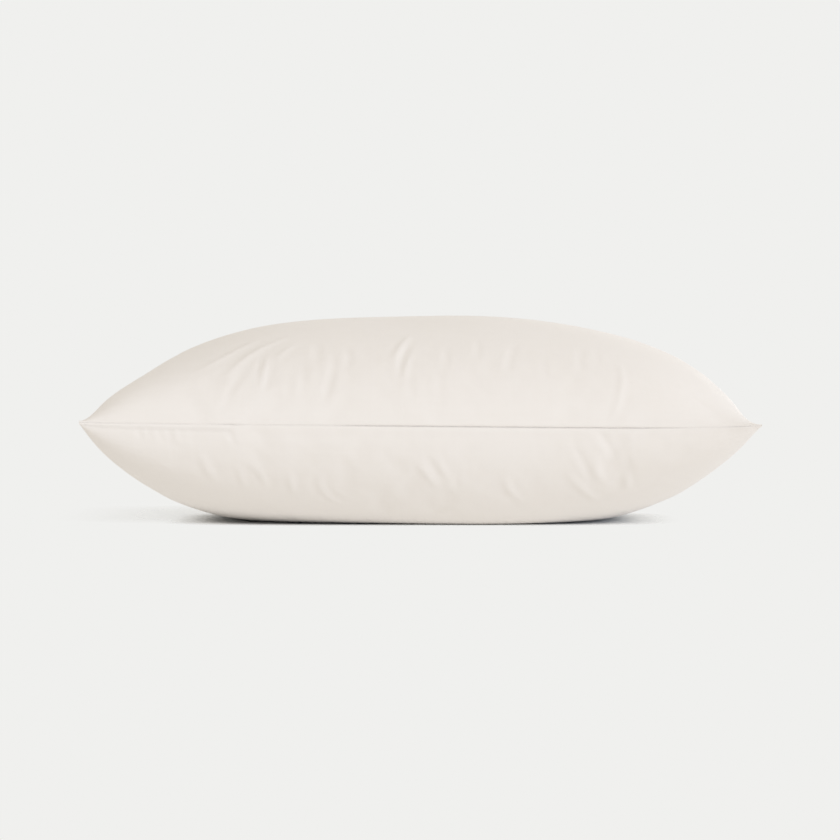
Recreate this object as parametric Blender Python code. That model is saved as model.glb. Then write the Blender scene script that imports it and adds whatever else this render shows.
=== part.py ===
"""A filled pillowcase lying flat: two cotton panels sewn together round all four sides, over a soft pillow.

Every point starts on one of the two flat cut panels. The steps below lay it on the filled form, then pinch
the seam and press in the main folds. Metres, +Z up. X runs along the case, and the closing end is at -X.
The front long side is at -Y.
"""

from collections import namedtuple
import math

import bmesh
import bpy
import numpy as np

# The case as it is sewn, flat
CASE_LENGTH = 0.660
CASE_WIDTH = 0.510

# The case as it lies filled: from corner to corner, and how far the middle of each side is drawn in
FILLED_LENGTH = 0.620
FILLED_WIDTH = 0.472
END_DRAW = 0.018
SIDE_DRAW = 0.020
DRAW_POWER = 2.6

# Heights: the seam above the floor, its fall from the closing end to the other one, how far the crown rises
# above it, and how far the belly would sink below it if no floor held it up. A lean is the share by which
# crown or belly gains towards the plain end, where more of the filling lies.
SEAM_HEIGHT = 0.0950
SEAM_FALL = 0.0058
CROWN = 0.1000
CROWN_LEAN = 0.08
BELLY_SINK = 0.1137
BELLY_LEAN = 0.13
FLOOR_EASE = 0.006

# How full the form is from side to side. A higher power and root make a squarer section.
SIDE_CROWN_POWER = 2.0
SIDE_CROWN_ROOT = 1.80
SIDE_BELLY_POWER = 2.1
SIDE_BELLY_ROOT = 1.90
MEETING_POWER = 1.6

# The same along the case, at each end. An ear is how far its panel lies pinched flat round a corner.
End = namedtuple("End", "crown_power crown_root crown_ear belly_power belly_root belly_ear corner_lift")
CLOSING_END = End(3.56, 1.30, 0.022, 4.19, 1.91, 0.0135, 0.0013)
PLAIN_END = End(2.16, 2.11, 0.056, 1.90, 2.05, 0.0355, 0.0043)
END_BLEND = 0.5
CROWN_PINCH = 1.5
BELLY_PINCH = 0.7

# The seam: a crease drawn in between two soft lips. On the front it is thicker from the closing end to a
# nick, as far as the inner flap reaches.
SEAM_DRAWN_IN = 0.0020
LIP_AT = 0.0018
LIP_OUT = 0.0007
THICK_LIP_OUT = 0.0014
THICK_LIP_FOOT = 0.0042
THICK_LIP_FOOT_IN = 0.0006
FLAP_REACH = 0.163

# At a corner the seam's edges are folded up inside, which holds the two panels apart there
CORNER_REACH = 0.030
CLOSING_CORNER_FILL = 0.0016
PLAIN_CORNER_FILL = 0.0010

# Soft gathers beside the seam: two waves of uneven pitch, which fade out on the panel
Gather = namedtuple("Gather", "pitch phase depth")
GATHERS = (
    Gather(0.047, 0.4, 0.0005),
    Gather(0.071, 2.1, 0.0006),
)
GATHER_REACH = 0.030

# Rows of points from an edge inwards, then runs of even steps up to each reach from the middle
EDGE_ROWS = (0.0, LIP_AT, THICK_LIP_FOOT, 0.0085, 0.0155, 0.025, 0.038)
Run = namedtuple("Run", "end steps")
ACROSS_RUNS = (
    Run(-0.217, 0),
    Run(-0.112, 8),
    Run(0.145, 9),
    Run(0.217, 4),
)
ALONG_RUNS = (
    Run(-0.292, 0),
    Run(-0.205, 7),
    Run(-0.060, 26),
    Run(-0.030, 3),
    Run(0.035, 12),
    Run(0.125, 9),
    Run(0.185, 11),
    Run(0.292, 9),
)

# The main folds. Each runs from its foot to its head. The first number of a place is how far it is along
# its edge from the middle, and the second how far up the panel from the seam there. A positive bow bulges
# to +X or +Y, a positive depth is a trough, and a negative one is a ridge.
Fold = namedtuple("Fold", "panel edge foot_at foot_up head_at head_up bow width depth")
FOLDS = (
    Fold("upper", "front", -0.194, 0.075, -0.153, 0.137, 0.002, 0.015, -0.0020),
    Fold("upper", "front", -0.170, 0.060, -0.128, 0.134, -0.003, 0.015, -0.0020),
    Fold("upper", "front", -0.128, 0.086, -0.114, 0.117, -0.001, 0.013, -0.0012),
    Fold("upper", "front", -0.168, 0.020, -0.157, 0.061, -0.001, 0.013, 0.0011),
    Fold("upper", "front", -0.138, 0.044, -0.138, 0.085, 0.000, 0.012, -0.0016),
    Fold("upper", "front", -0.101, 0.032, -0.103, 0.070, 0.000, 0.013, 0.0008),
    Fold("upper", "front", -0.082, 0.025, -0.078, 0.086, 0.002, 0.013, 0.0014),
    Fold("upper", "front", -0.064, 0.070, -0.066, 0.103, 0.001, 0.013, 0.0010),
    Fold("upper", "front", -0.024, 0.083, -0.012, 0.127, 0.000, 0.012, -0.0020),
    Fold("upper", "front", -0.018, 0.058, -0.011, 0.103, -0.002, 0.011, 0.0020),
    Fold("upper", "front", 0.022, 0.066, 0.023, 0.098, 0.000, 0.012, 0.0008),
    Fold("upper", "front", 0.077, 0.066, 0.084, 0.109, 0.000, 0.013, 0.0013),
    Fold("upper", "front", 0.141, 0.068, 0.145, 0.110, 0.000, 0.012, 0.0009),
    Fold("upper", "front", 0.165, 0.010, 0.178, 0.079, 0.004, 0.012, -0.0012),
    Fold("lower", "front", -0.165, 0.003, -0.160, 0.015, 0.000, 0.010, 0.0012),
    Fold("lower", "front", -0.190, 0.027, -0.184, 0.056, 0.000, 0.014, -0.0014),
    Fold("lower", "front", -0.143, 0.040, -0.136, 0.064, 0.001, 0.012, -0.0012),
    Fold("lower", "front", -0.114, 0.048, -0.113, 0.070, 0.000, 0.012, -0.0010),
    Fold("lower", "front", -0.088, 0.050, -0.073, 0.088, -0.005, 0.013, -0.0014),
    Fold("lower", "front", -0.001, 0.032, 0.013, 0.054, 0.000, 0.011, -0.0018),
    Fold("lower", "front", 0.006, 0.026, 0.018, 0.046, 0.000, 0.010, 0.0018),
    Fold("lower", "front", 0.074, 0.048, 0.085, 0.072, -0.001, 0.012, -0.0013),
    Fold("lower", "front", 0.130, 0.043, 0.156, 0.083, 0.000, 0.013, -0.0016),
    Fold("lower", "front", 0.132, 0.014, 0.149, 0.053, 0.002, 0.012, 0.0010),
    Fold("lower", "front", 0.150, 0.026, 0.160, 0.054, -0.001, 0.012, -0.0014),
    Fold("lower", "front", 0.153, 0.004, 0.165, 0.020, 0.001, 0.011, 0.0012),
    Fold("lower", "front", 0.179, 0.044, 0.184, 0.068, 0.000, 0.012, -0.0011),
    Fold("upper", "back", -0.148, 0.034, -0.122, 0.124, 0.004, 0.022, 0.0024),
    Fold("upper", "back", -0.096, 0.052, -0.090, 0.140, -0.003, 0.024, -0.0020),
    Fold("upper", "back", 0.044, 0.040, 0.030, 0.118, 0.004, 0.022, 0.0022),
    Fold("upper", "back", 0.168, 0.030, 0.138, 0.122, -0.004, 0.022, 0.0026),
    Fold("lower", "back", -0.120, 0.020, -0.104, 0.072, 0.002, 0.022, 0.0020),
    Fold("lower", "back", 0.090, 0.018, 0.072, 0.070, -0.002, 0.022, 0.0020),
    Fold("upper", "closing", -0.104, 0.030, -0.078, 0.112, 0.003, 0.024, 0.0022),
    Fold("upper", "closing", 0.082, 0.040, 0.060, 0.130, -0.003, 0.024, 0.0024),
    Fold("upper", "plain", -0.092, 0.036, -0.066, 0.118, 0.003, 0.024, 0.0020),
    Fold("upper", "plain", 0.100, 0.030, 0.070, 0.120, -0.003, 0.024, 0.0024),
)
FOLD_FLOOR_FADE = 0.014

# The plain woven cotton of the case
CLOTH_COLOUR = (0.85, 0.80, 0.755, 1.0)
CLOTH_ROUGHNESS = 0.85


def clear_scene():
    for obj in list(bpy.data.objects):
        bpy.data.objects.remove(obj, do_unlink=True)


def cotton():
    material = bpy.data.materials.new("cotton")
    material.use_nodes = True
    shader = material.node_tree.nodes["Principled BSDF"]
    shader.inputs["Base Color"].default_value = CLOTH_COLOUR
    shader.inputs["Roughness"].default_value = CLOTH_ROUGHNESS
    shader.inputs["Metallic"].default_value = 0.0
    return material


def stops(half, runs):
    """The places of the point rows across a panel: close together at both seams, even runs between them."""
    places = [-half + row for row in EDGE_ROWS[:-1]]
    start = runs[0].end
    places.append(start)
    for run in runs[1:]:
        step = (run.end - start) / run.steps
        places.extend(start + step * (i + 1) for i in range(run.steps))
        start = run.end
    places.extend(half - row for row in reversed(EDGE_ROWS[:-1]))
    return places


def profile(t, power, root):
    """How high a panel stands above the seam at t, from 1 in the middle to 0 at the seam."""
    return max(1 - abs(t) ** power, 1e-6) ** (1 / root)


def meet(along, across):
    """Two profiles as one surface, which has either of them where the other is 1."""
    total = along**-MEETING_POWER + across**-MEETING_POWER - 1
    return total ** (-1 / MEETING_POWER)


def end_at(u):
    """The form's values at u, blended from the closing end (u = -1) to the plain one (u = 1)."""
    c = max(-1.0, min(1.0, u / END_BLEND))
    share = 0.5 + 0.25 * c * (3 - c * c)
    return End(*(a + (b - a) * share for a, b in zip(CLOSING_END, PLAIN_END)))


def pinch(from_corner, ear, power):
    """The share of its height that a panel keeps near a corner."""
    return 1 - math.exp(-((from_corner / ear) ** power))


def rest_on_floor(z):
    """Height z, or exactly 0 on the floor, with a soft bend between the two."""
    if z <= -FLOOR_EASE:
        return 0.0
    if z < FLOOR_EASE:
        return (z + FLOOR_EASE) ** 2 / (4 * FLOOR_EASE)
    return z


def filled(u, v, upper):
    """The filled form at u along and v across, both from -1 to 1, on the upper or the lower panel."""
    end = end_at(u)
    half_length = FILLED_LENGTH / 2
    half_width = FILLED_WIDTH / 2
    x = (half_length - END_DRAW * (1 - abs(v) ** DRAW_POWER)) * u
    y = (half_width - SIDE_DRAW * (1 - abs(u) ** DRAW_POWER)) * v
    from_corner = math.hypot((1 - abs(u)) * half_length, (1 - abs(v)) * half_width)
    seam = SEAM_HEIGHT - SEAM_FALL / 2 * u + end.corner_lift * abs(u) ** 5 * abs(v) ** 3
    if upper:
        along = profile(u, end.crown_power, end.crown_root)
        across = profile(v, SIDE_CROWN_POWER, SIDE_CROWN_ROOT)
        crown = CROWN * (1 + CROWN_LEAN * u) * pinch(from_corner, end.crown_ear, CROWN_PINCH)
        return x, y, seam + crown * meet(along, across)
    along = profile(u, end.belly_power, end.belly_root)
    across = profile(v, SIDE_BELLY_POWER, SIDE_BELLY_ROOT)
    belly = BELLY_SINK * (1 + BELLY_LEAN * u) * pinch(from_corner, end.belly_ear, BELLY_PINCH)
    return x, y, rest_on_floor(seam - belly * meet(along, across))


def laying(axis):
    """Places on the form's middle section against the cloth's length up to there, both from 0 to 1."""
    places = 1 - np.linspace(1, 0, 2001) ** 3
    points = [filled(t, 0, True) if axis == 0 else filled(0, t, True) for t in places]
    run = np.array([point[axis] for point in points])
    rise = np.array([point[2] for point in points])
    cloth = np.concatenate([[0.0], np.cumsum(np.hypot(np.diff(run), np.diff(rise)))])
    return places, cloth / cloth[-1]


def lay(place, half, table):
    """Where a point of the flat panel comes to lie on the form, from -1 to 1."""
    places, cloth = table
    return math.copysign(np.interp(abs(place) / half, cloth, places), place)


def from_edge(edge, a, b):
    """A point of the flat panel as the distance along one edge, and up the panel from its seam."""
    if edge == "front":
        return a, CASE_WIDTH / 2 + b
    if edge == "back":
        return a, CASE_WIDTH / 2 - b
    if edge == "closing":
        return b, CASE_LENGTH / 2 + a
    return b, CASE_LENGTH / 2 - a


def fold_depth(fold, a, b):
    """How deep one fold is at a point of the flat panel."""
    at, up = from_edge(fold.edge, a, b)
    run_at = fold.head_at - fold.foot_at
    run_up = fold.head_up - fold.foot_up
    length = math.hypot(run_at, run_up)
    off_at = at - fold.foot_at
    off_up = up - fold.foot_up
    t = (off_at * run_at + off_up * run_up) / length**2
    aside = (off_at * run_up - off_up * run_at) / length
    bulge = fold.bow * (1 - (2 * t - 1) ** 2)
    sigma = fold.width / 3
    past = max(-t, t - 1, 0.0) * length
    taper = math.exp(-((past / sigma) ** 2)) * (0.45 + 0.55 * math.sin(math.pi * min(max(t, 0), 1)))
    return fold.depth * taper * math.exp(-(((aside - bulge) / sigma) ** 2))


def gather_depth(a, b):
    """Soft gathers all along the seam."""
    up, at = min(
        (CASE_WIDTH / 2 - abs(b), a),
        (CASE_LENGTH / 2 - abs(a), b),
    )
    fade = up / GATHER_REACH * math.exp(1 - up / GATHER_REACH)
    return fade * sum(g.depth * math.sin(2 * math.pi * at / g.pitch + g.phase) for g in GATHERS)


def at_corner(a, b):
    """1 at a corner of the flat panel, fading to 0 away from it."""
    from_corner = math.hypot(CASE_LENGTH / 2 - abs(a), CASE_WIDTH / 2 - abs(b))
    return math.exp(-((from_corner / CORNER_REACH) ** 2))


def seam_depth(a, b, upper):
    """How far the seam draws in and its lips stand out, along the normal. A negative depth is outwards."""
    from_side = CASE_WIDTH / 2 - abs(b)
    from_end = CASE_LENGTH / 2 - abs(a)
    from_seam = min(from_side, from_end)
    away_from_corner = 1 - at_corner(a, b)
    if from_seam < LIP_AT / 2:
        return SEAM_DRAWN_IN * away_from_corner
    thick = not upper and b < 0 and from_seam == from_side and a < -FLAP_REACH
    if from_seam < (LIP_AT + THICK_LIP_FOOT) / 2:
        out = THICK_LIP_OUT if thick else LIP_OUT
        return -out * away_from_corner
    if from_seam < THICK_LIP_FOOT * 1.5 and thick:
        return THICK_LIP_FOOT_IN * away_from_corner
    return 0.0


def corner_fill(a, b, upper):
    """How far a panel is held up or down by the seam's edges inside a corner."""
    from_seam = min(CASE_WIDTH / 2 - abs(b), CASE_LENGTH / 2 - abs(a))
    if from_seam < LIP_AT / 2:
        return 0.0
    fill = CLOSING_CORNER_FILL if a < 0 else PLAIN_CORNER_FILL
    return fill * at_corner(a, b) * (1 if upper else -1)


def add_flat_panel(bm, along, across):
    """One flat panel as a grid, with its rows of points where the folds and the seam need them."""
    grid = bmesh.ops.create_grid(bm, x_segments=len(along) - 1, y_segments=len(across) - 1, size=1.0)
    for vert in grid["verts"]:
        column = round((vert.co.x + 1) / 2 * (len(along) - 1))
        row = round((vert.co.y + 1) / 2 * (len(across) - 1))
        vert.co.x = along[column]
        vert.co.y = across[row]
    return grid["verts"]


def fill_case(bm, cut):
    """Lay each panel on the filled form."""
    length_table = laying(0)
    width_table = laying(1)
    for vert, (a, b, upper) in cut.items():
        u = lay(a, CASE_LENGTH / 2, length_table)
        v = lay(b, CASE_WIDTH / 2, width_table)
        vert.co = filled(u, v, upper)
    bm.normal_update()


def crease_case(bm, cut):
    """Press the seam, its gathers and the main folds into the filled form, along its normals."""
    folds = {
        True: [fold for fold in FOLDS if fold.panel == "upper"],
        False: [fold for fold in FOLDS if fold.panel == "lower"],
    }
    normals = {vert: vert.normal.copy() for vert in cut}
    for vert, (a, b, upper) in cut.items():
        depth = sum(fold_depth(fold, a, b) for fold in folds[upper])
        depth += gather_depth(a, b)
        depth *= min(vert.co.z / FOLD_FLOOR_FADE, 1.0)
        depth += seam_depth(a, b, upper)
        vert.co -= normals[vert] * depth
        vert.co.z += corner_fill(a, b, upper)
        vert.co.z = max(vert.co.z, 0.0)


def centre_on_floor(bm):
    """The middle of the box over the frame's origin, with the underside on the floor."""
    for axis in (0, 1):
        values = [vert.co[axis] for vert in bm.verts]
        middle = (min(values) + max(values)) / 2
        for vert in bm.verts:
            vert.co[axis] -= middle


def make_pillowcase():
    along = stops(CASE_LENGTH / 2, ALONG_RUNS)
    across = stops(CASE_WIDTH / 2, ACROSS_RUNS)
    bm = bmesh.new()
    upper = add_flat_panel(bm, along, across)
    lower = add_flat_panel(bm, along, across)
    lower_faces = {face for vert in lower for face in vert.link_faces}
    bmesh.ops.reverse_faces(bm, faces=list(lower_faces))
    rim = [vert for vert in bm.verts if vert.is_boundary]
    bmesh.ops.remove_doubles(bm, verts=rim, dist=LIP_AT / 10)
    cut = {v: (v.co.x, v.co.y, True) for v in upper if v.is_valid}
    cut.update({v: (v.co.x, v.co.y, False) for v in lower if v.is_valid and v not in cut})

    fill_case(bm, cut)
    crease_case(bm, cut)
    centre_on_floor(bm)

    mesh = bpy.data.meshes.new("pillowcase")
    bm.to_mesh(mesh)
    bm.free()
    mesh.shade_smooth()
    obj = bpy.data.objects.new("pillowcase", mesh)
    obj.data.materials.append(cotton())
    bpy.context.scene.collection.objects.link(obj)


clear_scene()
make_pillowcase()
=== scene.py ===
# %% [markdown]
# # A filled cotton pillowcase
# A pillowcase is a flat thing: two rectangles of cotton sewn together round their edges. All of its shape
# comes from the pillow inside. So the lesson cuts the two flat panels first, fills them, lets a cloth
# simulation find the small wrinkles, and then presses in the creases that this one case has.

from collections import namedtuple
import math

import bmesh
import bpy
import numpy as np
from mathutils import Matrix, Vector


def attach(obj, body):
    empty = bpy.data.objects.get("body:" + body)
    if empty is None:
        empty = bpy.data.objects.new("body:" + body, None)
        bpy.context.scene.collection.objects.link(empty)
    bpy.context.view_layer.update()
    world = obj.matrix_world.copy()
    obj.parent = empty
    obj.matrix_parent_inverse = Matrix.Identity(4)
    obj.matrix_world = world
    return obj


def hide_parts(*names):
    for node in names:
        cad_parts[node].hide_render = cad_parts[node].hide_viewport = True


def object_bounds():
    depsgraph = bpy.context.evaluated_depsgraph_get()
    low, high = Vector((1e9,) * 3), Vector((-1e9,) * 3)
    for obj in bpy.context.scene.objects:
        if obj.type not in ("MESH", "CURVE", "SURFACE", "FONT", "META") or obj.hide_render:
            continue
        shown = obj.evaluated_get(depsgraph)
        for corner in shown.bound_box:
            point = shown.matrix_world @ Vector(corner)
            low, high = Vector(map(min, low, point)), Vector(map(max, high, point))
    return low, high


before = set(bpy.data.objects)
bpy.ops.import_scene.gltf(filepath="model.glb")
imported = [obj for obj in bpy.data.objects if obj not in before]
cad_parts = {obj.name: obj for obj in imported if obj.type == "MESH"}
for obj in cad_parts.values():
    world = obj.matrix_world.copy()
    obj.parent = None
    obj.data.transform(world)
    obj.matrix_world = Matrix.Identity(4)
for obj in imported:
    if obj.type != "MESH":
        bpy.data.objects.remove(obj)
solid_low, solid_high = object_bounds()
solid_size = solid_high - solid_low
print("nodes:", list(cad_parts))
print("solid, metres:", [round(side, 4) for side in solid_size])

# %% [markdown]
# ## Camera
# The pillowcase is seen from the front, from just above its own height and from far away, so that its long
# seam runs almost straight across the picture. A long lens at 4 m gives that flat look. The camera looks
# along +Y and tilts down by less than two degrees.

# %% Camera
CAMERA_AT = Vector((-0.0005, -4.0, 0.205))
CAMERA_TILT = math.radians(-1.58)
PICTURE_SIDE_AT_ONE_METRE = 0.202434
SENSOR = 36.0
STRAIGHT_AHEAD = math.radians(90)

camera_data = bpy.data.cameras.new("camera")
camera_data.sensor_width = SENSOR
camera_data.lens = SENSOR / PICTURE_SIDE_AT_ONE_METRE
camera = bpy.data.objects.new("camera", camera_data)
camera.location = CAMERA_AT
camera.rotation_euler = (STRAIGHT_AHEAD + CAMERA_TILT, 0, 0)
bpy.context.scene.collection.objects.link(camera)
bpy.context.scene.camera = camera
print("lens, mm:", round(camera_data.lens, 1))

# %% [markdown]
# ## The two cut panels
# A tailor starts from the flat cut, and so does this lesson. Each panel is a grid, and the two grids are
# welded along their edges, which is the seam. Every point keeps its place on the flat panel in an attribute
# called "cut". Later steps need it: the simulation to know how long each thread really is, the creases and
# the seam to know where they belong, and the weave to run along the threads. The rows of points lie closest
# beside the seam, and closer on the front than behind, where the folds are broad. The seam's own edges are
# marked as sharp, so that the mesh can be rounded later and keeps its seam.

# %% Rows of points on a panel
CASE_LENGTH = 0.660
CASE_WIDTH = 0.510
SEAM_ROWS = (0.0, 0.0012)
FIRST_ROW = 0.0042
FINE_STEP = 0.005
COARSE_STEP = 0.0075
FINE_UP_TO = -0.105
WELD_WITHIN = 0.00012


def even_stops(start, end, step):
    count = round((end - start) / step)
    return [start + (end - start) * i / count for i in range(count + 1)]


def panel_stops(half, step, change_at=None, second_step=None):
    """Where the rows of points lie across a panel, with two close rows beside each seam."""
    low, high = -half + FIRST_ROW, half - FIRST_ROW
    if change_at is None:
        middle = even_stops(low, high, step)
    else:
        middle = even_stops(low, change_at, step)[:-1] + even_stops(change_at, high, second_step)
    near = [row - half for row in SEAM_ROWS]
    return near + middle + [-place for place in reversed(near)]


columns = panel_stops(CASE_LENGTH / 2, FINE_STEP)
rows = panel_stops(CASE_WIDTH / 2, FINE_STEP, FINE_UP_TO, COARSE_STEP)
print("points on a panel:", len(columns), "x", len(rows))


# %% Cut and sew the panels
def add_panel(bm, cut, side):
    """One flat panel. Its side is 1 for the upper one and -1 for the lower one."""
    grid = bmesh.ops.create_grid(bm, x_segments=len(columns) - 1, y_segments=len(rows) - 1, size=1.0)
    for vert in grid["verts"]:
        column = round((vert.co.x + 1) / 2 * (len(columns) - 1))
        row = round((vert.co.y + 1) / 2 * (len(rows) - 1))
        panel = 0 if vert.is_boundary else side
        vert[cut] = (columns[column], rows[row], panel)
        vert.co = vert[cut]
    if side < 0:
        faces = {face for vert in grid["verts"] for face in vert.link_faces}
        bmesh.ops.reverse_faces(bm, faces=list(faces))


sewing = bmesh.new()
cut_layer = sewing.verts.layers.float_vector.new("cut")
crease_layer = sewing.edges.layers.float.new("crease_edge")
for panel_side in (1, -1):
    add_panel(sewing, cut_layer, panel_side)
rim = [vert for vert in sewing.verts if vert.is_boundary]
bmesh.ops.remove_doubles(sewing, verts=rim, dist=WELD_WITHIN)
for edge in sewing.edges:
    on_seam = all(vert[cut_layer].z == 0 for vert in edge.verts)
    edge[crease_layer] = 1.0 if on_seam else 0.0
case_mesh = bpy.data.meshes.new("case_cloth")
sewing.to_mesh(case_mesh)
sewing.free()
case = bpy.data.objects.new("case_cloth", case_mesh)
bpy.context.scene.collection.objects.link(case)
print("sewn flat:", len(case_mesh.vertices), "points")

# %% [markdown]
# The next steps move thousands of points by formulas. The quickest way is to take all points out of the mesh
# as one array, work on the whole array, and put it back. foreach_get and foreach_set do that in one call.


# %% Read and write a mesh as arrays
def read_vectors(items, field):
    """One vector of each item, as the rows of an array."""
    values = np.zeros(len(items) * 3)
    items.foreach_get(field, values)
    return values.reshape(-1, 3)


def read_cut(mesh):
    return read_vectors(mesh.attributes["cut"].data, "vector")


def read_points(mesh):
    return read_vectors(mesh.vertices, "co")


def read_normals(mesh):
    return read_vectors(mesh.vertex_normals, "vector")


def write_points(mesh, points):
    mesh.vertices.foreach_set("co", np.ascontiguousarray(points, np.float32).ravel())
    mesh.update()


case_cut = read_cut(case_mesh)
print("on the seam:", np.count_nonzero(case_cut[:, 2] == 0), "points")

# %% [markdown]
# ## The filled form
# A soft pillow fills the case to a crown, the long and short sides draw in, and the corners stay pinched
# because the filling can't reach into them. It could be sculpted, but a formula can be measured and changed.
# The height over the seam joins two simple profiles, one along and one across the case, so that neither
# leaves a ridge. The two ends have their own values, and crown and belly lean towards the plain end, where
# more of the filling has settled. In each corner the crown rises softly and the belly falls off steeply,
# which is what the two pinch powers say. The floor cuts the belly off flat.

# %% Sizes of the filled form
FILLED_LENGTH = 0.620
FILLED_WIDTH = 0.472
END_DRAW = 0.018
SIDE_DRAW = 0.020
DRAW_POWER = 2.6
SEAM_HEIGHT = 0.0950
SEAM_FALL = 0.0058
CROWN = 0.1000
CROWN_LEAN = 0.08
BELLY_SINK = 0.1137
BELLY_LEAN = 0.13
FLOOR_EASE = 0.006
SIDE_CROWN_POWER = 2.0
SIDE_CROWN_ROOT = 1.80
SIDE_BELLY_POWER = 2.1
SIDE_BELLY_ROOT = 1.90
MEETING_POWER = 1.6
CROWN_PINCH = 1.5
BELLY_PINCH = 0.7
LIFT_POWER_ALONG = 5
LIFT_POWER_ACROSS = 3
END_BLEND = 0.5
End = namedtuple("End", "crown_power crown_root crown_ear belly_power belly_root belly_ear corner_lift")
CLOSING_END = End(3.56, 1.30, 0.022, 4.19, 1.91, 0.0135, 0.0013)
PLAIN_END = End(2.16, 2.11, 0.056, 1.90, 2.05, 0.0355, 0.0043)


# %% The form at any point of the cloth
NEARLY_FLAT = 1e-6


def profile(t, power, root):
    """A section's height, 1 in the middle and nearly 0 at both edges."""
    return np.maximum(1 - np.abs(t) ** power, NEARLY_FLAT) ** (1 / root)


def meet(along, across):
    """Two profiles as one surface, which has either of them where the other is 1."""
    return (along**-MEETING_POWER + across**-MEETING_POWER - 1) ** (-1 / MEETING_POWER)


def end_at(u):
    """The values of the two ends, blended over the middle of the case."""
    c = np.clip(u / END_BLEND, -1, 1)
    share = 0.5 + 0.25 * c * (3 - c * c)
    return End(*(a + (b - a) * share for a, b in zip(CLOSING_END, PLAIN_END)))


def pinch(from_corner, ear, power):
    """The share of its height that a panel keeps near a corner."""
    return 1 - np.exp(-((from_corner / ear) ** power))


def rest_on_floor(z):
    """A height that eases onto the floor and doesn't go below it."""
    eased = (z + FLOOR_EASE) ** 2 / (4 * FLOOR_EASE)
    return np.where(z <= -FLOOR_EASE, 0, np.where(z < FLOOR_EASE, eased, z))


def filled(u, v, upper):
    """The filled form at u along and v across, both from -1 to 1."""
    end = end_at(u)
    half_length, half_width = FILLED_LENGTH / 2, FILLED_WIDTH / 2
    x = (half_length - END_DRAW * (1 - np.abs(v) ** DRAW_POWER)) * u
    y = (half_width - SIDE_DRAW * (1 - np.abs(u) ** DRAW_POWER)) * v
    from_corner = np.hypot((1 - np.abs(u)) * half_length, (1 - np.abs(v)) * half_width)
    lift = end.corner_lift * np.abs(u) ** LIFT_POWER_ALONG * np.abs(v) ** LIFT_POWER_ACROSS
    seam = SEAM_HEIGHT - SEAM_FALL / 2 * u + lift
    crown = meet(profile(u, end.crown_power, end.crown_root), profile(v, SIDE_CROWN_POWER, SIDE_CROWN_ROOT))
    belly = meet(profile(u, end.belly_power, end.belly_root), profile(v, SIDE_BELLY_POWER, SIDE_BELLY_ROOT))
    crown *= (1 + CROWN_LEAN * u) * pinch(from_corner, end.crown_ear, CROWN_PINCH)
    belly *= (1 + BELLY_LEAN * u) * pinch(from_corner, end.belly_ear, BELLY_PINCH)
    high = seam + CROWN * crown
    low = rest_on_floor(seam - BELLY_SINK * belly)
    return np.stack([x, y, np.where(upper, high, low)], axis=-1)


print("middle of the crown, metres:", filled(0.0, 0.0, True).round(4))

# %% [markdown]
# Cotton hardly stretches, so equal lengths of the flat panel have to cover equal lengths of the form. This
# step measures the form's middle sections along and across, as with a tape, and reads off where each point
# of the panel comes to lie. The places crowd towards the edge, where the form is steepest.

# %% Lay the flat cloth on the form
LAYING_POINTS = 2001
LAYING_CROWDING = 3


def laying(axis):
    """Places on the form's middle section, and the share of the cloth that is used up to each."""
    places = 1 - np.linspace(1, 0, LAYING_POINTS) ** LAYING_CROWDING
    middle = np.zeros(LAYING_POINTS)
    section = filled(places, middle, True) if axis == 0 else filled(middle, places, True)
    steps = np.hypot(np.diff(section[:, axis]), np.diff(section[:, 2]))
    used = np.concatenate([[0.0], np.cumsum(steps)])
    return places, used / used[-1]


along_places, along_used = laying(0)
across_places, across_used = laying(1)


def fill_case(cut):
    """Where each point of the flat cloth lies on the filled form."""
    along = np.abs(cut[:, 0]) / (CASE_LENGTH / 2)
    across = np.abs(cut[:, 1]) / (CASE_WIDTH / 2)
    u = np.sign(cut[:, 0]) * np.interp(along, along_used, along_places)
    v = np.sign(cut[:, 1]) * np.interp(across, across_used, across_places)
    return filled(u, v, cut[:, 2] > 0)


filled_points = fill_case(case_cut)
write_points(case_mesh, filled_points)
print("filled, metres:", np.ptp(filled_points, axis=0).round(4))

# %% [markdown]
# ## Wrinkles from a cloth simulation
# A flat rectangle can't lie smoothly on a round form: near the middle of each side there is more cloth than
# surface, and it has to wrinkle. Those wrinkles are hard to draw well and easy to simulate. The cloth's rest
# shape is the flat cut, so each thread wants its true length, pressure stands for the pillow, and a weak
# pull keeps every point near the filled form.

# %% Simulate the cloth on its pillow
SIM_FRAMES = 20
PILLOW_PRESSURE = 4.0
PULL_TO_FORM = 0.03
FLAT_GAP = 0.0005


def flat_shape_key(obj, cut):
    """The flat cut as a shape key, with the two panels a hair apart."""
    obj.shape_key_add(name="Basis")
    flat = obj.shape_key_add(name="flat cut")
    places = cut * np.array([1, 1, FLAT_GAP])
    flat.data.foreach_set("co", places.ravel())
    flat.value = 0
    return flat


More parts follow.
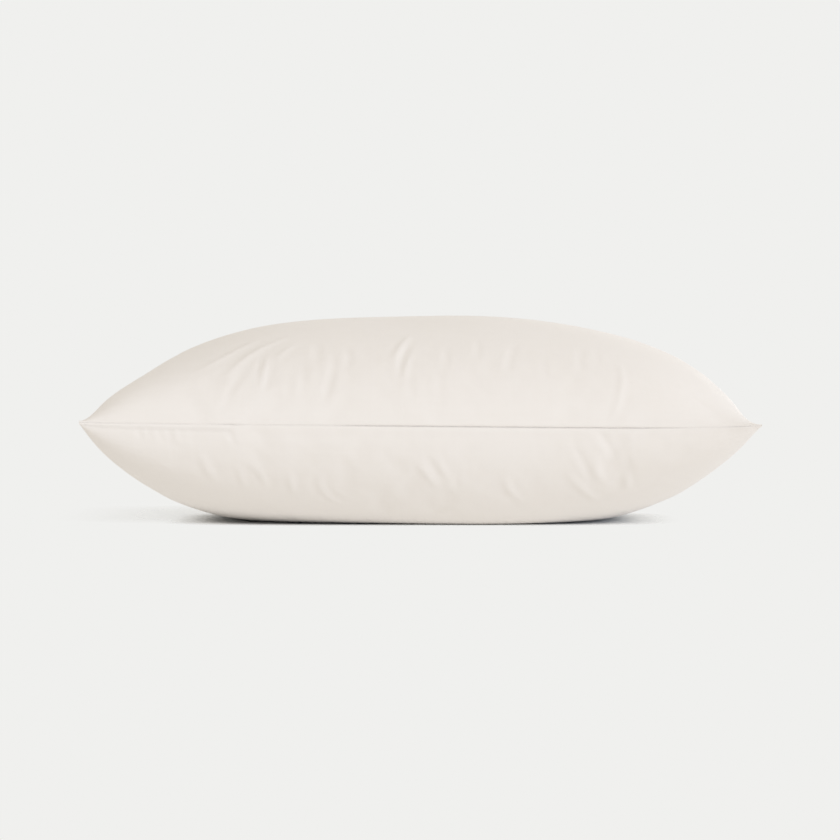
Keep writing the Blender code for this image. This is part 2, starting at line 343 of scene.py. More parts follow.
def simulate(obj, cut):
    """The case's points after the cloth has settled."""
    mesh = obj.data
    measure = bmesh.new()
    measure.from_mesh(mesh)
    volume = measure.calc_volume()
    measure.free()
    pull = obj.vertex_groups.new(name="pull to form")
    pull.add(list(range(len(mesh.vertices))), PULL_TO_FORM, "REPLACE")

    cloth = obj.modifiers.new("Cloth", "CLOTH")
    settings = cloth.settings
    settings.rest_shape_key = flat_shape_key(obj, cut)
    settings.vertex_group_mass = pull.name
    settings.pin_stiffness = 1.0
    settings.quality = 6
    settings.tension_stiffness = 40
    settings.compression_stiffness = 20
    settings.shear_stiffness = 15
    settings.bending_stiffness = 0.5
    settings.bending_damping = 2.0
    settings.air_damping = 3.0
    settings.use_pressure = True
    settings.uniform_pressure_force = PILLOW_PRESSURE
    settings.use_pressure_volume = True
    settings.target_volume = volume
    settings.effector_weights.gravity = 0
    cloth.collision_settings.use_collision = False
    cloth.point_cache.frame_start = 1
    cloth.point_cache.frame_end = SIM_FRAMES
    for step in range(1, SIM_FRAMES + 1):
        bpy.context.scene.frame_set(step)
    depsgraph = bpy.context.evaluated_depsgraph_get()
    settled = read_points(obj.evaluated_get(depsgraph).data)

    obj.modifiers.remove(cloth)
    obj.shape_key_clear()
    obj.vertex_groups.clear()
    bpy.context.scene.frame_set(1)
    return settled


settled_points = simulate(case, case_cut)
print("cloth moved at most, mm:", round(np.abs(settled_points - filled_points).max() * 1000, 1))

# %% [markdown]
# ## Keep the wrinkles, not the swelling
# Pressure also swells the case out of its measured shape. The wrinkles are what remains of the movement when
# its smooth part is taken away, so both shapes are smoothed in the same way and subtracted. What is left is
# laid on the measured form along its normals, with a limit. The front has its own creases, which are listed
# below, so less of the simulation is kept there.

# %% Separate the wrinkles
SMOOTHING_PASSES = 70
SMOOTHING = 0.5
WRINKLE_SHARE = 0.75
WRINKLE_LIMIT = 0.004
FRONT_SHARE = 0.55
FRONT_UP_TO = -0.16
BACK_FROM = -0.02
FLOOR_FADE = 0.014


def smoothed(mesh, points):
    """The points after many light passes of smoothing over the mesh."""
    work = bmesh.new()
    work.from_mesh(mesh)
    work.verts.ensure_lookup_table()
    for vert, point in zip(work.verts, points):
        vert.co = point
    for _ in range(SMOOTHING_PASSES):
        bmesh.ops.smooth_vert(
            work, verts=work.verts, factor=SMOOTHING, use_axis_x=True, use_axis_y=True, use_axis_z=True
        )
    result = np.array([vert.co for vert in work.verts])
    work.free()
    return result


def smooth_step(value, low, high):
    """0 up to the low value and 1 from the high one, with a soft rise between them."""
    t = np.clip((value - low) / (high - low), 0, 1)
    return t * t * (3 - 2 * t)


def front_share(cut):
    """Less of the simulation on the front, where the creases are listed one by one."""
    return FRONT_SHARE + (1 - FRONT_SHARE) * smooth_step(cut[:, 1], FRONT_UP_TO, BACK_FROM)


def lay_wrinkles(mesh, cut, start, settled):
    """Move the filled form's points by the wrinkles alone, and return how far."""
    moved = (settled - smoothed(mesh, settled)) - (start - smoothed(mesh, start))
    normals = read_normals(mesh)
    height = (moved * normals).sum(axis=1) * WRINKLE_SHARE * front_share(cut)
    height = WRINKLE_LIMIT * np.tanh(height / WRINKLE_LIMIT)
    height *= np.clip(start[:, 2] / FLOOR_FADE, 0, 1) * np.abs(cut[:, 2])
    write_points(mesh, start + normals * height[:, None])
    return height


wrinkle_height = lay_wrinkles(case_mesh, case_cut, filled_points, settled_points)
print("highest wrinkle, mm:", round(wrinkle_height.max() * 1000, 2))

# %% [markdown]
# ## A finer mesh for the creases
# The simulation ran on a grid of 5 mm, and 7.5 mm behind. One level of subdivision rounds it and halves the
# step. The modifier is applied here, because the next step's creases are finer than the first grid.

# %% Subdivide once
rounding = case.modifiers.new("Subdivision", "SUBSURF")
rounding.levels = rounding.render_levels = 1
rounding.uv_smooth = "NONE"
fine_mesh = bpy.data.meshes.new_from_object(case.evaluated_get(bpy.context.evaluated_depsgraph_get()))
case.modifiers.remove(rounding)
case.data = fine_mesh
fine_mesh.name = "case_cloth"
fine_cut = read_cut(fine_mesh)
print("fine mesh:", len(fine_mesh.polygons), "faces")

# %% [markdown]
# ## Creases, listed one by one
# This is what makes it this pillowcase and not any other. Each crease is a soft line on the flat panel, from
# its foot to its head: so far along the edge from its middle, and so far up from the seam. It has a width
# and a depth, and a line that bulges sideways has a bow. A positive depth is a trough and a negative one a
# ridge. Cloth folds in pairs, so the section below gives each trough a low ridge on both sides.

# %% The creases of the front
Crease = namedtuple("Crease", "panel edge foot_at foot_up head_at head_up bow width depth")
FRONT_CREASES = (
    Crease("upper", "front", -0.194, 0.075, -0.153, 0.137, 0.002, 0.013, -0.0010),
    Crease("upper", "front", -0.170, 0.060, -0.128, 0.134, -0.003, 0.012, -0.0010),
    Crease("upper", "front", -0.128, 0.086, -0.114, 0.117, -0.001, 0.010, -0.0006),
    Crease("upper", "front", -0.168, 0.020, -0.157, 0.061, -0.001, 0.011, 0.0006),
    Crease("upper", "front", -0.138, 0.044, -0.138, 0.085, 0.000, 0.009, -0.0008),
    Crease("upper", "front", -0.142, 0.058, -0.141, 0.092, -0.001, 0.009, 0.0005),
    Crease("upper", "front", -0.134, 0.037, -0.134, 0.055, 0.000, 0.008, 0.0003),
    Crease("upper", "front", -0.113, 0.025, -0.115, 0.052, 0.000, 0.010, 0.0003),
    Crease("upper", "front", -0.101, 0.032, -0.103, 0.070, 0.000, 0.011, 0.0004),
    Crease("upper", "front", -0.092, 0.076, -0.094, 0.115, 0.000, 0.011, 0.0004),
    Crease("upper", "front", -0.082, 0.025, -0.078, 0.086, 0.002, 0.011, 0.0007),
    Crease("upper", "front", -0.064, 0.070, -0.066, 0.103, 0.001, 0.010, 0.0005),
    Crease("upper", "front", -0.024, 0.083, -0.012, 0.127, 0.000, 0.009, -0.0010),
    Crease("upper", "front", -0.018, 0.058, -0.011, 0.103, -0.002, 0.008, 0.0008),
    Crease("upper", "front", -0.014, 0.055, -0.009, 0.085, -0.001, 0.007, -0.0006),
    Crease("upper", "front", -0.009, 0.030, -0.009, 0.056, 0.000, 0.010, 0.0004),
    Crease("upper", "front", 0.017, 0.024, 0.017, 0.068, 0.000, 0.011, 0.0003),
    Crease("upper", "front", 0.022, 0.066, 0.023, 0.098, 0.000, 0.009, 0.0004),
    Crease("upper", "front", 0.051, 0.085, 0.052, 0.116, 0.000, 0.010, 0.0004),
    Crease("upper", "front", 0.077, 0.066, 0.084, 0.109, 0.000, 0.011, 0.0006),
    Crease("upper", "front", 0.108, 0.057, 0.109, 0.080, 0.000, 0.010, 0.0003),
    Crease("upper", "front", 0.141, 0.068, 0.145, 0.110, 0.000, 0.010, 0.0004),
    Crease("upper", "front", 0.158, 0.081, 0.160, 0.115, 0.000, 0.009, 0.0003),
    Crease("upper", "front", 0.165, 0.010, 0.178, 0.079, 0.004, 0.009, -0.0006),
    Crease("lower", "front", -0.165, 0.003, -0.160, 0.015, 0.000, 0.007, 0.0006),
    Crease("lower", "front", -0.229, 0.041, -0.218, 0.051, 0.000, 0.009, -0.0003),
    Crease("lower", "front", -0.190, 0.027, -0.184, 0.056, 0.000, 0.012, -0.0007),
    Crease("lower", "front", -0.158, 0.044, -0.156, 0.064, 0.000, 0.009, -0.0005),
    Crease("lower", "front", -0.143, 0.040, -0.136, 0.064, 0.001, 0.009, -0.0006),
    Crease("lower", "front", -0.114, 0.048, -0.113, 0.070, 0.000, 0.009, -0.0006),
    Crease("lower", "front", -0.088, 0.050, -0.073, 0.088, -0.005, 0.011, -0.0007),
    Crease("lower", "front", -0.001, 0.032, 0.013, 0.054, 0.000, 0.008, -0.0007),
    Crease("lower", "front", 0.006, 0.026, 0.018, 0.046, 0.000, 0.008, 0.0006),
    Crease("lower", "front", 0.015, 0.026, 0.022, 0.041, 0.000, 0.007, -0.0004),
    Crease("lower", "front", 0.031, 0.043, 0.032, 0.057, 0.000, 0.008, 0.0003),
    Crease("lower", "front", 0.074, 0.048, 0.085, 0.072, -0.001, 0.010, -0.0007),
    Crease("lower", "front", 0.130, 0.043, 0.156, 0.083, 0.000, 0.011, -0.0007),
    Crease("lower", "front", 0.132, 0.014, 0.149, 0.053, 0.002, 0.009, 0.0005),
    Crease("lower", "front", 0.150, 0.026, 0.160, 0.054, -0.001, 0.010, -0.0006),
    Crease("lower", "front", 0.153, 0.004, 0.165, 0.020, 0.001, 0.009, 0.0006),
    Crease("lower", "front", 0.178, 0.021, 0.181, 0.039, 0.000, 0.009, 0.0003),
    Crease("lower", "front", 0.179, 0.044, 0.184, 0.068, 0.000, 0.010, -0.0006),
)

# %% The broad folds of the other sides
HIDDEN_FOLDS = (
    Crease("upper", "back", -0.148, 0.034, -0.122, 0.124, 0.004, 0.022, 0.0016),
    Crease("upper", "back", -0.096, 0.052, -0.090, 0.140, -0.003, 0.024, -0.0013),
    Crease("upper", "back", 0.044, 0.040, 0.030, 0.118, 0.004, 0.022, 0.0014),
    Crease("upper", "back", 0.168, 0.030, 0.138, 0.122, -0.004, 0.022, 0.0017),
    Crease("lower", "back", -0.120, 0.020, -0.104, 0.072, 0.002, 0.022, 0.0013),
    Crease("lower", "back", 0.090, 0.018, 0.072, 0.070, -0.002, 0.022, 0.0013),
    Crease("upper", "closing", -0.104, 0.030, -0.078, 0.112, 0.003, 0.024, 0.0014),
    Crease("upper", "closing", 0.082, 0.040, 0.060, 0.130, -0.003, 0.024, 0.0016),
    Crease("upper", "plain", -0.092, 0.036, -0.066, 0.118, 0.003, 0.024, 0.0013),
    Crease("upper", "plain", 0.100, 0.030, 0.070, 0.120, -0.003, 0.024, 0.0016),
)

# %% The puckers beside the seam, where the inner flap is caught in it
PUCKERS = 5
PUCKER_FIRST = -0.246
PUCKER_PITCH = 0.0095
PUCKER_LEAN = 0.002
PUCKER_FOOT = 0.0045
PUCKER_HEAD = 0.0125
PUCKER_WIDTH = 0.0065
PUCKER_DEPTH = 0.0004
FOOT_DRIFT = 0.0012
FOOT_TURN = 2.3
DEPTH_DRIFT = 0.0001
DEPTH_TURN = 1.7


def pucker(i):
    """One of the row. Its foot and its depth drift a little, so that no two are the same."""
    at = PUCKER_FIRST + PUCKER_PITCH * i
    foot_at = at + FOOT_DRIFT * math.sin(FOOT_TURN * i)
    head_at = at + PUCKER_LEAN
    depth = PUCKER_DEPTH + DEPTH_DRIFT * math.cos(DEPTH_TURN * i)
    return Crease("lower", "front", foot_at, PUCKER_FOOT, head_at, PUCKER_HEAD, 0, PUCKER_WIDTH, depth)


creases = [*FRONT_CREASES, *HIDDEN_FOLDS, *map(pucker, range(PUCKERS))]
print("creases:", len(creases))

# %% How a crease presses into the cloth
SIDE_RIDGE = 0.30
SIDE_RIDGE_AT = 1.9
SIGMAS_IN_WIDTH = 3
END_SHARE = 0.45
END_FADE = 1.5


def from_edge(edge, cut):
    """Points of the flat panel as the distance along one edge, and up the panel from its seam."""
    a, b = cut[:, 0], cut[:, 1]
    return {
        "front": (a, CASE_WIDTH / 2 + b),
        "back": (a, CASE_WIDTH / 2 - b),
        "closing": (b, CASE_LENGTH / 2 + a),
        "plain": (b, CASE_LENGTH / 2 - a),
    }[edge]


def crease_depth(crease, cut):
    """How deep one crease is at each point."""
    at, up = from_edge(crease.edge, cut)
    run_at = crease.head_at - crease.foot_at
    run_up = crease.head_up - crease.foot_up
    length = math.hypot(run_at, run_up)
    off_at = at - crease.foot_at
    off_up = up - crease.foot_up
    t = (off_at * run_at + off_up * run_up) / length**2
    aside = (off_at * run_up - off_up * run_at) / length
    sigma = crease.width / SIGMAS_IN_WIDTH
    away = (aside - crease.bow * (1 - (2 * t - 1) ** 2)) / sigma
    section = np.exp(-(away**2)) - SIDE_RIDGE * np.exp(-((np.abs(away) - SIDE_RIDGE_AT) ** 2))
    past = np.maximum(np.maximum(-t, t - 1), 0) * length
    swell = END_SHARE + (1 - END_SHARE) * np.sin(math.pi * np.clip(t, 0, 1))
    taper = np.exp(-((past / (END_FADE * sigma)) ** 2)) * swell
    panel = 1 if crease.panel == "upper" else -1
    return crease.depth * taper * section * (cut[:, 2] * panel > 0)


def press_creases(mesh, cut):
    """Move the points in by all creases at once, and return how deep."""
    points = read_points(mesh)
    depth = sum(crease_depth(crease, cut) for crease in creases)
    depth *= np.clip(points[:, 2] / FLOOR_FADE, 0, 1)
    points -= read_normals(mesh) * depth[:, None]
    points[:, 2] = np.maximum(points[:, 2], 0)
    write_points(mesh, points)
    return depth


crease_depths = press_creases(fine_mesh, fine_cut)
print("deepest crease, mm:", round(crease_depths.max() * 1000, 2))

# %% [markdown]
# ## The seam
# The panels are sewn right sides together and turned, so no stitch shows: the seam is a fine dark line
# between two soft lips, and the folded edges inside fill out the tips of the corners. On the front, from the
# closing end to a small nick, the inner flap is caught in the seam and makes one lip thicker. Right of the
# nick the line is at first faint and then deep, and on the other sides it is even. It could be cut in as an
# edge of its own, but the rings of points that already lie beside the seam are enough, and are moved here.

# %% Draw the seam in and raise its lips
GROOVE_WIDTH = 0.00055
GROOVE_DEEP = 0.0028
GROOVE_SOFT = 0.0012
GROOVE_FAINT = 0.0011
GROOVE_HIDDEN = 0.0024
GROOVE_DEEPENS = (-0.09, -0.03)
GROOVE_EASES = (0.17, 0.24)
CORNER_SHALLOWER = 0.7
LIP_AT = 0.0024
LIP_WIDTH = 0.0018
LIP_OUT = 0.0004
FLAP_REACH = 0.163
NICK_WIDTH = 0.005
NICK_DEEPER = 0.0010
THICK_LIP_OUT = 0.0009
THICK_LIP_FOOT = 0.0046
THICK_LIP_FOOT_WIDTH = 0.0012
THICK_LIP_FOOT_IN = 0.0009
CORNER_REACH = 0.030
CORNER_ROUND = 0.0015
CLOSING_CORNER_FILL = 0.0016
PLAIN_CORNER_FILL = 0.0010


def ring(distance, at, width):
    """1 on a ring at some distance from the seam, fading to both sides."""
    return np.exp(-(((distance - at) / width) ** 2))


def press_seam(mesh, cut):
    """Draw the seam in, raise its lips and fill the corners. It returns how far the points went out."""
    from_side = CASE_WIDTH / 2 - np.abs(cut[:, 1])
    from_end = CASE_LENGTH / 2 - np.abs(cut[:, 0])
    from_seam = np.minimum(from_side, from_end)
    front = (cut[:, 1] < 0) & (from_side <= from_end)
    at_corner = ring(np.hypot(from_side, from_end), 0, CORNER_REACH)
    flap = front & (cut[:, 0] < -FLAP_REACH)

    deep = smooth_step(cut[:, 0], *GROOVE_DEEPENS) * (1 - smooth_step(cut[:, 0], *GROOVE_EASES))
    drawn = np.where(front, GROOVE_SOFT + (GROOVE_DEEP - GROOVE_SOFT) * deep, GROOVE_HIDDEN)
    drawn = np.where(flap, GROOVE_FAINT, drawn)
    drawn += NICK_DEEPER * ring(cut[:, 0], -FLAP_REACH, NICK_WIDTH) * front
    drawn *= (1 - CORNER_SHALLOWER * at_corner) * ring(from_seam, 0, GROOVE_WIDTH)

    on_panel = np.sign(cut[:, 2])
    thick = flap * (on_panel < 0)
    lip = np.where(thick, THICK_LIP_OUT, LIP_OUT) * ring(from_seam, LIP_AT, LIP_WIDTH)
    foot = thick * THICK_LIP_FOOT_IN * ring(from_seam, THICK_LIP_FOOT, THICK_LIP_FOOT_WIDTH)
    out = (lip - foot) * (1 - at_corner) * np.abs(on_panel) - drawn

    fill = np.where(cut[:, 0] < 0, CLOSING_CORNER_FILL, PLAIN_CORNER_FILL)
    points = read_points(mesh)
    points += read_normals(mesh) * out[:, None]
    points[:, 2] += fill * at_corner * on_panel * (1 - ring(from_seam, 0, CORNER_ROUND))
    write_points(mesh, points)
    return out


seam_out = press_seam(fine_mesh, fine_cut)
fine_mesh.shade_smooth()
print("seam, mm:", round(seam_out.min() * 1000, 2), "to", round(seam_out.max() * 1000, 2))

# %% [markdown]
# ## Threads need their own map
# Weave runs along the threads and bends with the cloth, so it can't be placed in space. The flat cut is the
# perfect map: it is the cloth before it was bent. Both panels share one square of the map, side by side.

# %% A map from the flat cut
MAP_METRES = 1.10
MAP_GAP = 0.02


def map_cloth(mesh, cut):
    """Give each corner of each face its place on the flat cut, the lower panel beside the upper one."""
    corners = np.zeros(len(mesh.loops), np.int32)
    mesh.loops.foreach_get("vertex_index", corners)
    sizes = np.zeros(len(mesh.polygons), np.int32)
    mesh.polygons.foreach_get("loop_total", sizes)
    of_face = np.repeat(np.arange(len(sizes)), sizes)
    side = np.bincount(of_face, weights=cut[corners, 2])[of_face]
    across = cut[corners, 1] + CASE_WIDTH / 2 + np.where(side > 0, 0, CASE_WIDTH + MAP_GAP)
    along = cut[corners, 0] + CASE_LENGTH / 2
    uv_layer = mesh.uv_layers.new(name="cloth")
    uv_layer.data.foreach_set("uv", (np.stack([along, across], axis=1) / MAP_METRES).ravel())


map_cloth(fine_mesh, fine_cut)
print("maps:", [layer.name for layer in fine_mesh.uv_layers])

# %% [markdown]
# ## Plain woven cotton
# Up close, fine bed cotton is a plain weave of about 35 threads in a centimetre, each a little uneven. From
# a step away only a soft surface is left, with a faint sheen at grazing angles. A picture of cloth could be
# tiled over it, but that would repeat. So the weave is worked out from two sine waves, as a height for the
# bump: in every second cell the thread that runs along lies on top, and in the others the thread that runs
# across. Long, thin noise gives the threads their thick and thin places.

# %% Small helpers for shader nodes
VECTOR = "NodeSocketVector"
NUMBER = "NodeSocketFloat"


def new_node(tree, kind, **inputs):
    """A node with some of its inputs set by name, with _ for a space."""
    node = tree.nodes.new(kind)
    for name, value in inputs.items():
        node.inputs[name.replace("_", " ")].default_value = value
    return node


def math_node(tree, operation, *values):
    """A Math node whose inputs are sockets or numbers. It returns its output socket."""
    node = tree.nodes.new("ShaderNodeMath")
    node.operation = operation
    for socket, value in zip(node.inputs, values):
        if isinstance(value, bpy.types.NodeSocket):
            tree.links.new(value, socket)
        else:
            socket.default_value = value
    return node.outputs[0]


def new_group(name, inputs, outputs):
    """An empty node group with named sockets."""
    group = bpy.data.node_groups.new(name, "ShaderNodeTree")
    for in_out, sockets in (("INPUT", inputs), ("OUTPUT", outputs)):
        for socket_name, kind in sockets.items():
            group.interface.new_socket(socket_name, in_out=in_out, socket_type=kind)
    return group, group.nodes.new("NodeGroupInput"), group.nodes.new("NodeGroupOutput")


# %% The weave as a node group
SLUB_STRETCHES = ((3.0, 160.0, 1.0), (160.0, 3.0, 1.0))
SLUB_SCALE = 2.2
THREAD_ROUNDNESS = 0.4


def make_weave():
    group, given, result = new_group(
        "plain weave",
        {"Map": VECTOR, "Threads": NUMBER, "Unevenness": NUMBER},
        {"Height": NUMBER, "Thread": NUMBER},
    )
    split = group.nodes.new("ShaderNodeSeparateXYZ")
    group.links.new(given.outputs["Map"], split.inputs[0])
    slubs = []
    for stretch in SLUB_STRETCHES:
        place = group.nodes.new("ShaderNodeMapping")
        place.inputs["Scale"].default_value = stretch
        noise = new_node(group, "ShaderNodeTexNoise", Scale=SLUB_SCALE, Detail=2.0, Roughness=0.6)
        group.links.new(given.outputs["Map"], place.inputs["Vector"])
        group.links.new(place.outputs[0], noise.inputs["Vector"])
        slubs.append(noise.outputs["Fac"])
    waves = []
    for axis in ("X", "Y"):
        count = math_node(group, "MULTIPLY", split.outputs[axis], given.outputs["Threads"])
        waves.append(math_node(group, "SINE", math_node(group, "MULTIPLY", count, math.pi)))
    along = math_node(group, "ABSOLUTE", waves[0])
    across = math_node(group, "ABSOLUTE", waves[1])
    product = math_node(group, "MULTIPLY", waves[0], waves[1])
    top = math_node(group, "GREATER_THAN", product, 0.0)
    over = math_node(group, "MULTIPLY", along, math_node(group, "POWER", across, THREAD_ROUNDNESS))
    under = math_node(group, "MULTIPLY", across, math_node(group, "POWER", along, THREAD_ROUNDNESS))
    choose = group.nodes.new("ShaderNodeMix")
    group.links.new(top, choose.inputs["Factor"])
    group.links.new(under, choose.inputs["A"])
    group.links.new(over, choose.inputs["B"])
    slub = math_node(group, "SUBTRACT", math_node(group, "ADD", slubs[0], slubs[1]), 1.0)
    uneven = math_node(group, "MULTIPLY", slub, given.outputs["Unevenness"])
    height = math_node(group, "ADD", choose.outputs["Result"], uneven)
    group.links.new(height, result.inputs["Height"])
    group.links.new(slub, result.inputs["Thread"])
    return group


weave = make_weave()
print(weave.name, "group:", len(weave.nodes), "nodes")

# %% [markdown]
# The closing end has a hem: one row of small stitches on the lower panel, where the case rests on it. Each
# stitch is a short dip in the cloth. Modelled one by one they would be many faces for little to see, so they
# go into the bump as well, and a second group draws them from the map.

# %% A row of stitches as a node group
HEM_FROM_END = 0.024
STITCH_LENGTH = 0.0028
STITCH_WIDTH = 0.0009


def make_stitch_row():
    group, given, result = new_group(
        "stitch row",
        {"Map": VECTOR, "Place": NUMBER, "From": NUMBER, "Stitches": NUMBER, "Width": NUMBER},
        {"Dip": NUMBER},
    )
    split = group.nodes.new("ShaderNodeSeparateXYZ")
    group.links.new(given.outputs["Map"], split.inputs[0])
    beside = math_node(group, "SUBTRACT", split.outputs["X"], given.outputs["Place"])
    off = math_node(group, "ABSOLUTE", beside)
    line = math_node(group, "SUBTRACT", 1.0, math_node(group, "DIVIDE", off, given.outputs["Width"]))
    count = math_node(group, "MULTIPLY", split.outputs["Y"], given.outputs["Stitches"])
    wave = math_node(group, "SINE", math_node(group, "MULTIPLY", count, 2 * math.pi))
    stitch = math_node(group, "MULTIPLY_ADD", wave, 0.5, 0.5)
    panel = math_node(group, "GREATER_THAN", split.outputs["Y"], given.outputs["From"])
    dip = math_node(group, "MULTIPLY", math_node(group, "MAXIMUM", line, 0.0), stitch)
    group.links.new(math_node(group, "MULTIPLY", dip, panel), result.inputs["Dip"])
    return group


stitch_row = make_stitch_row()
print(stitch_row.name, "group:", len(stitch_row.nodes), "nodes")

# %% [markdown]
# The cream colour is almost even. Slow noise warms and cools it by about one part in a hundred, and thick
# threads are a shade lighter. The numbers that are the same all over sit on the shader itself.

# %% The cotton material
COTTON = (0.850, 0.808, 0.775, 1.0)
COTTON_WARM = (0.838, 0.792, 0.750, 1.0)
COTTON_ROUGHNESS = 0.82
COTTON_SHINE = 0.25
COTTON_SHEEN = 0.12
SHEEN_SPREAD = 0.5
THREADS_PER_METRE = 3500
SLUB_SHARE = 0.35
THREAD_TINT = 0.6
TINT_PATCHES = 9.0
WEAVE_STRENGTH = 0.6
WEAVE_DEPTH = 0.00006
STITCH_DEPTH = 0.0002


def make_cotton():
    material = bpy.data.materials.new("cotton")
    material.use_nodes = True
    tree = material.node_tree
    shader = tree.nodes["Principled BSDF"]
    shader.inputs["Roughness"].default_value = COTTON_ROUGHNESS
    shader.inputs["Specular IOR Level"].default_value = COTTON_SHINE
    shader.inputs["Sheen Weight"].default_value = COTTON_SHEEN
    shader.inputs["Sheen Roughness"].default_value = SHEEN_SPREAD

    uv = tree.nodes.new("ShaderNodeUVMap")
    uv.uv_map = "cloth"
    threads = tree.nodes.new("ShaderNodeGroup")
    threads.node_tree = weave
    threads.inputs["Threads"].default_value = THREADS_PER_METRE * MAP_METRES
    threads.inputs["Unevenness"].default_value = SLUB_SHARE
    hem = tree.nodes.new("ShaderNodeGroup")
    hem.node_tree = stitch_row
    hem.inputs["Place"].default_value = HEM_FROM_END / MAP_METRES
    hem.inputs["From"].default_value = (CASE_WIDTH + MAP_GAP / 2) / MAP_METRES
    hem.inputs["Stitches"].default_value = MAP_METRES / STITCH_LENGTH
    hem.inputs["Width"].default_value = STITCH_WIDTH / MAP_METRES
    for group in (threads, hem):
        tree.links.new(uv.outputs[0], group.inputs["Map"])

    patches = new_node(tree, "ShaderNodeTexNoise", Scale=TINT_PATCHES, Detail=3.0, Roughness=0.5)
    tree.links.new(uv.outputs[0], patches.inputs["Vector"])
    shade = math_node(tree, "MULTIPLY_ADD", threads.outputs["Thread"], THREAD_TINT, patches.outputs["Fac"])
    blend = tree.nodes.new("ShaderNodeMix")
    blend.data_type = "RGBA"
    blend.inputs["A"].default_value = COTTON_WARM
    blend.inputs["B"].default_value = COTTON
    tree.links.new(shade, blend.inputs["Factor"])
    tree.links.new(blend.outputs["Result"], shader.inputs["Base Color"])

    weave_bump = new_node(tree, "ShaderNodeBump", Strength=WEAVE_STRENGTH, Distance=WEAVE_DEPTH)
    tree.links.new(threads.outputs["Height"], weave_bump.inputs["Height"])
    hem_bump = new_node(tree, "ShaderNodeBump", Strength=1.0, Distance=STITCH_DEPTH)
    hem_bump.invert = True
    tree.links.new(hem.outputs["Dip"], hem_bump.inputs["Height"])
    tree.links.new(weave_bump.outputs[0], hem_bump.inputs["Normal"])
    tree.links.new(hem_bump.outputs[0], shader.inputs["Normal"])
    return material


fine_mesh.materials.clear()
fine_mesh.materials.append(make_cotton())
print("materials:", [material.name for material in fine_mesh.materials])

# %% [markdown]
# ## Stage and light
# The picture is high key: cloth, floor and background are all nearly white, and only a thin contact shadow
# grounds the pillow. The camera should see a pale neutral backdrop, but the cloth should get a warmer light,
# the even light of a room. One world can do both: the Light Path node tells camera rays from all others, so
# each kind meets its own colour. The Standard view shows colours as they are set.

# %% Backdrop and room light
BACKDROP = (0.871, 0.871, 0.855, 1.0)
ROOM_LIGHT = (0.864, 0.841, 0.796, 1.0)

world = bpy.data.worlds.new("studio")
world.use_nodes = True
around = world.node_tree
seen = around.nodes.new("ShaderNodeLightPath").outputs["Is Camera Ray"]
backdrop = around.nodes.new("ShaderNodeMix")
backdrop.data_type = "RGBA"
backdrop.inputs["A"].default_value = ROOM_LIGHT
backdrop.inputs["B"].default_value = BACKDROP
around.links.new(seen, backdrop.inputs["Factor"])
around.links.new(backdrop.outputs["Result"], around.nodes["Background"].inputs["Color"])
bpy.context.scene.world = world
bpy.context.scene.view_settings.view_transform = "Standard"
print("backdrop:", BACKDROP[:3], "room light:", ROOM_LIGHT[:3])

# %% [markdown]
# One large, slightly cool lamp stands low at the front right. It makes the right end the brightest, leaves
# the hollows warm and sends the shadow to the left. A smaller lamp, low behind the pillow, shapes the back,
# which the room light alone would leave flat. Both are soft disks that the camera doesn't see.

# %% Two soft lamps
Lamp = namedtuple("Lamp", "name at size power colour")
LAMPS = (
    Lamp("main lamp", Vector((3.65, -2.70, 0.75)), 2.6, 74, (0.93, 1.03, 1.20)),
    Lamp("back lamp", Vector((1.30, 4.10, 0.50)), 1.6, 36, (1.00, 0.98, 0.94)),
)
LAMP_TARGET = Vector((0, 0, 0.08))

for given in LAMPS:
    lamp_data = bpy.data.lights.new(given.name, "AREA")
    lamp_data.shape = "DISK"
    lamp_data.size = given.size
    lamp_data.energy = given.power
    lamp_data.color = given.colour
    lamp = bpy.data.objects.new(given.name, lamp_data)
    lamp.location = given.at
    lamp.rotation_euler = (LAMP_TARGET - given.at).to_track_quat("-Z", "Y").to_euler()
    lamp.visible_camera = False
    bpy.context.scene.collection.objects.link(lamp)
print("lamps:", [given.name for given in LAMPS])

# %% [markdown]
# The floor is pale and plain, and its edge mustn't show. A floor that is solid all over would also darken
# too widely around the pillow. So it is solid only in a patch close under the pillow, thinner in a second
# patch behind and to the left, where the shadow runs, and fades into the backdrop from there.

# %% Floor
FLOOR_RADIUS = 3.0
FLOOR_DROP = 0.0004
FLOOR_WHITE = (0.850, 0.872, 0.885, 1.0)
FLOOR_ROUGHNESS = 0.9
FLOOR_SEGMENTS = 64
Patch = namedtuple("Patch", "centre reach fade_from")
NEAR_PATCH = Patch((-0.004, 0.0, 0.0), (0.256, 0.142, 1.0), 0.55)
FAR_PATCH = Patch((-0.125, 0.090, 0.0), (0.240, 0.200, 1.0), 0.10)
FAR_SHARE = 0.38


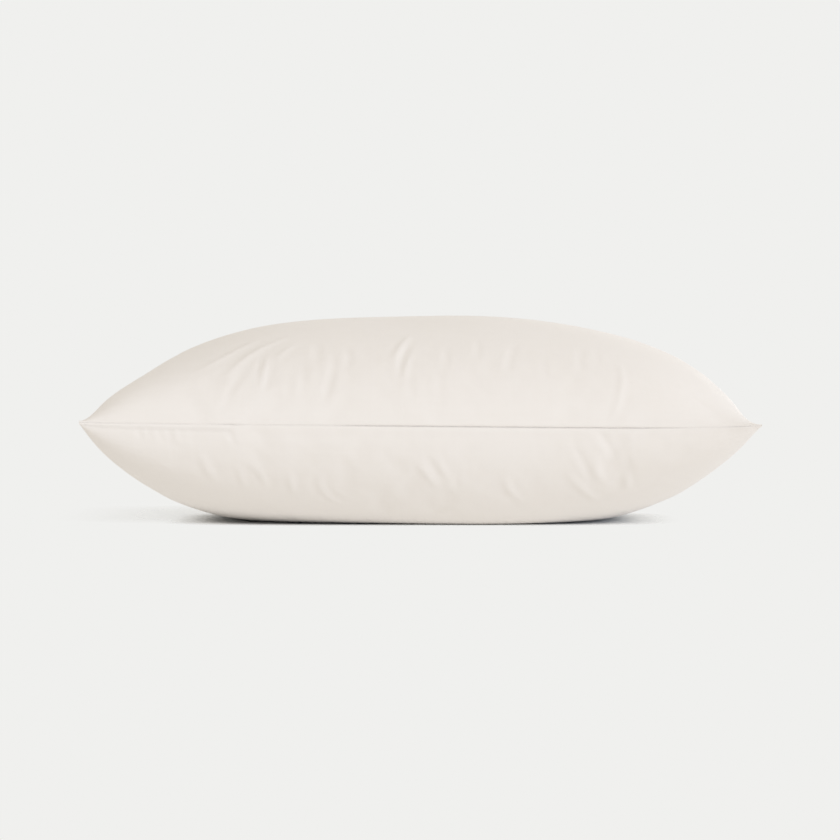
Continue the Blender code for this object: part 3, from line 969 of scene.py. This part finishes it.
def patch_mask(tree, place, patch):
    """1 inside a rounded patch of the floor and 0 outside, with a soft edge."""
    oval = new_node(tree, "ShaderNodeMapping", Location=patch.centre, Scale=patch.reach)
    oval.vector_type = "TEXTURE"
    tree.links.new(place, oval.inputs["Vector"])
    # Squared distances make the patch's outline squarer than an oval's, as the pillow's is.
    square = tree.nodes.new("ShaderNodeVectorMath")
    square.operation = "MULTIPLY"
    length = tree.nodes.new("ShaderNodeVectorMath")
    length.operation = "LENGTH"
    for socket in square.inputs[:2]:
        tree.links.new(oval.outputs["Vector"], socket)
    tree.links.new(square.outputs["Vector"], length.inputs[0])
    fade = new_node(tree, "ShaderNodeMapRange", From_Min=patch.fade_from, To_Min=1.0, To_Max=0.0)
    fade.interpolation_type = "SMOOTHSTEP"
    tree.links.new(length.outputs["Value"], fade.inputs["Value"])
    return fade.outputs["Result"]


def make_floor_material():
    material = bpy.data.materials.new("pale floor")
    material.use_nodes = True
    tree = material.node_tree
    shader = tree.nodes["Principled BSDF"]
    shader.inputs["Base Color"].default_value = FLOOR_WHITE
    shader.inputs["Roughness"].default_value = FLOOR_ROUGHNESS
    shader.inputs["Specular IOR Level"].default_value = 0.0
    place = tree.nodes.new("ShaderNodeTexCoord").outputs["Object"]
    near = patch_mask(tree, place, NEAR_PATCH)
    far = patch_mask(tree, place, FAR_PATCH)
    thin = math_node(tree, "MULTIPLY", far, FAR_SHARE)
    tree.links.new(math_node(tree, "MAXIMUM", near, thin), shader.inputs["Alpha"])
    return material


floor_shape = bmesh.new()
bmesh.ops.create_circle(floor_shape, cap_ends=True, segments=FLOOR_SEGMENTS, radius=FLOOR_RADIUS)
bmesh.ops.translate(floor_shape, verts=floor_shape.verts, vec=(0, 0, -FLOOR_DROP))
floor_mesh = bpy.data.meshes.new("floor")
floor_shape.to_mesh(floor_mesh)
floor_shape.free()
floor_mesh.materials.append(make_floor_material())
floor = bpy.data.objects.new("floor", floor_mesh)
bpy.context.scene.collection.objects.link(floor)
print("floor, metres across:", 2 * FLOOR_RADIUS)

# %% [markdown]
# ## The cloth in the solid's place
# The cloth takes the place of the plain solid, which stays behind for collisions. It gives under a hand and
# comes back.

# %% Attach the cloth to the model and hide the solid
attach(case, "root")
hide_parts("pillowcase")
